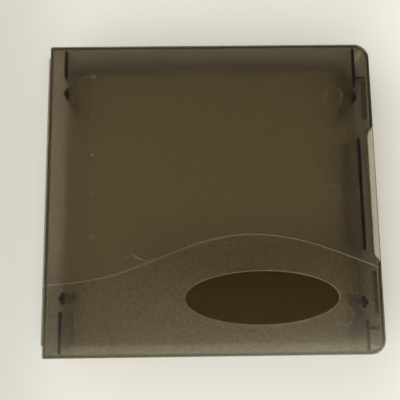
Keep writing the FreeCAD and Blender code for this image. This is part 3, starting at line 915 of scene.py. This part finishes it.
# Painted shade beside the hinge, and painted light beside the opening.
painted_shade_side = spot(
    cloth, cloth_point, GREY_CENTRE, GREY_HALF_WIDTH, TONE_HALF_DEPTH, soft=GREY_SOFT
)
painted_light_side = spot(
    cloth, cloth_point, PALE_CENTRE, PALE_HALF_WIDTH, TONE_HALF_DEPTH, soft=PALE_SOFT
)
cloth_tone = layered(
    cloth,
    "RGBA",
    linear("#d9d6cf"),
    (painted_shade_side, linear("#c5c2bc")),
    (painted_light_side, linear("#e4e1d9")),
)
weave = add(cloth, "ShaderNodeBsdfDiffuse", {"Color": cloth_tone})
cloth.node_tree.links.new(weave.outputs["BSDF"], cloth_output.inputs["Surface"])
floor.data.materials.append(cloth)

# Light: a soft room, brighter on the near and hinge sides and dim overhead, with one window high
# on the near side. The camera itself sees a pale backdrop; the light on the case is the room's.
# Each pair below is a height, as the sine of the elevation, and the strength of the light there.
ROOM_FOOT = (0.1, 0.55)
ROOM_SIDES = (0.6, 1.02)
ROOM_SHOULDER = (0.72, 1.0)
ROOM_TOP = (0.92, 0.3)
ROOM_LEAN = (-0.7, -0.36, 0.0)
LEAN_POWER = 1.6
BACKDROP = 0.8
world = bpy.data.worlds.new("soft_room")
world.use_nodes = True
sky = world.node_tree.nodes["Background"]
sky.inputs["Color"].default_value = linear("#ffffff")
heading = add(world, "ShaderNodeTexCoord")
rise = add(world, "ShaderNodeSeparateXYZ", {0: heading.outputs["Generated"]})
low_ring = add(
    world,
    "ShaderNodeMapRange",
    {
        "Value": rise.outputs["Z"],
        "From Min": ROOM_FOOT[0],
        "From Max": ROOM_SIDES[0],
        "To Min": ROOM_FOOT[1],
        "To Max": ROOM_SIDES[1],
    },
    interpolation_type="SMOOTHSTEP",
)
top = add(
    world,
    "ShaderNodeMapRange",
    {
        "Value": rise.outputs["Z"],
        "From Min": ROOM_SHOULDER[0],
        "From Max": ROOM_TOP[0],
        "To Min": ROOM_SHOULDER[1],
        "To Max": ROOM_TOP[1],
    },
    interpolation_type="SMOOTHSTEP",
)
around = add(
    world,
    "ShaderNodeMath",
    {0: low_ring.outputs["Result"], 1: top.outputs["Result"]},
    operation="MULTIPLY",
)
lean = add(
    world,
    "ShaderNodeVectorMath",
    {0: heading.outputs["Generated"], 1: ROOM_LEAN},
    operation="DOT_PRODUCT",
)
whole = add(world, "ShaderNodeMath", {0: lean.outputs["Value"], 1: 1.0}, operation="ADD")
side = add(world, "ShaderNodeMath", {0: whole.outputs[0], 1: LEAN_POWER}, operation="POWER")
glow = add(
    world,
    "ShaderNodeMath",
    {0: around.outputs[0], 1: side.outputs[0]},
    operation="MULTIPLY",
)
seen = add(world, "ShaderNodeLightPath")
strength = layered(world, "FLOAT", glow.outputs[0], (seen.outputs["Is Camera Ray"], BACKDROP))
world.node_tree.links.new(strength, sky.inputs["Strength"])
bpy.context.scene.world = world

WINDOW_PLACE = (0.015, -0.24, 0.97)
WINDOW_WIDTH = 0.8
WINDOW_HEIGHT = 0.1
WINDOW_POWER = 5.3


def soft_lamp(name, place, aim, width, height, power):
    """Adds a rectangular area lamp at a place, facing an aim point, with its width level."""
    light = bpy.data.lights.new(name, "AREA")
    light.shape = "RECTANGLE"
    light.size = width
    light.size_y = height
    light.energy = power
    light.color = linear("#fdfdf0")[:3]
    lamp = bpy.data.objects.new(name, light)
    bpy.context.scene.collection.objects.link(lamp)
    lamp.location = place
    direction = np.array(aim) - np.array(place)
    away = math.atan2(math.hypot(direction[0], direction[1]), -direction[2])
    lamp.rotation_euler = (away, 0.0, math.atan2(direction[1], direction[0]) - math.pi / 2)


soft_lamp("near_window", WINDOW_PLACE, (0, 0, 0), WINDOW_WIDTH, WINDOW_HEIGHT, WINDOW_POWER)

# Camera: almost straight above, set back a little towards the near side. Light crosses many skins
# of plastic on its way to it, so the paths may be long.
PHOTO_FOCUS_PX = 533.0
PHOTO_WIDTH_PX = 400
SENSOR_MM = 36.0
CAMERA_MM = (-5.20, -25.75, 181.68)
CAMERA_DEGREES = (8.442, -0.402, -0.712)
PATH_BOUNCES = 24
view = bpy.data.cameras.new("photo_view")
view.sensor_width = SENSOR_MM
view.lens = PHOTO_FOCUS_PX * SENSOR_MM / PHOTO_WIDTH_PX
view.clip_start = MM
camera = bpy.data.objects.new("photo_view", view)
bpy.context.scene.collection.objects.link(camera)
camera.location = [place * MM for place in CAMERA_MM]
camera.rotation_euler = [math.radians(turn) for turn in CAMERA_DEGREES]
bpy.context.scene.camera = camera
bpy.context.scene.view_settings.view_transform = "Standard"
bpy.context.scene.cycles.max_bounces = PATH_BOUNCES
bpy.context.scene.cycles.transmission_bounces = PATH_BOUNCES
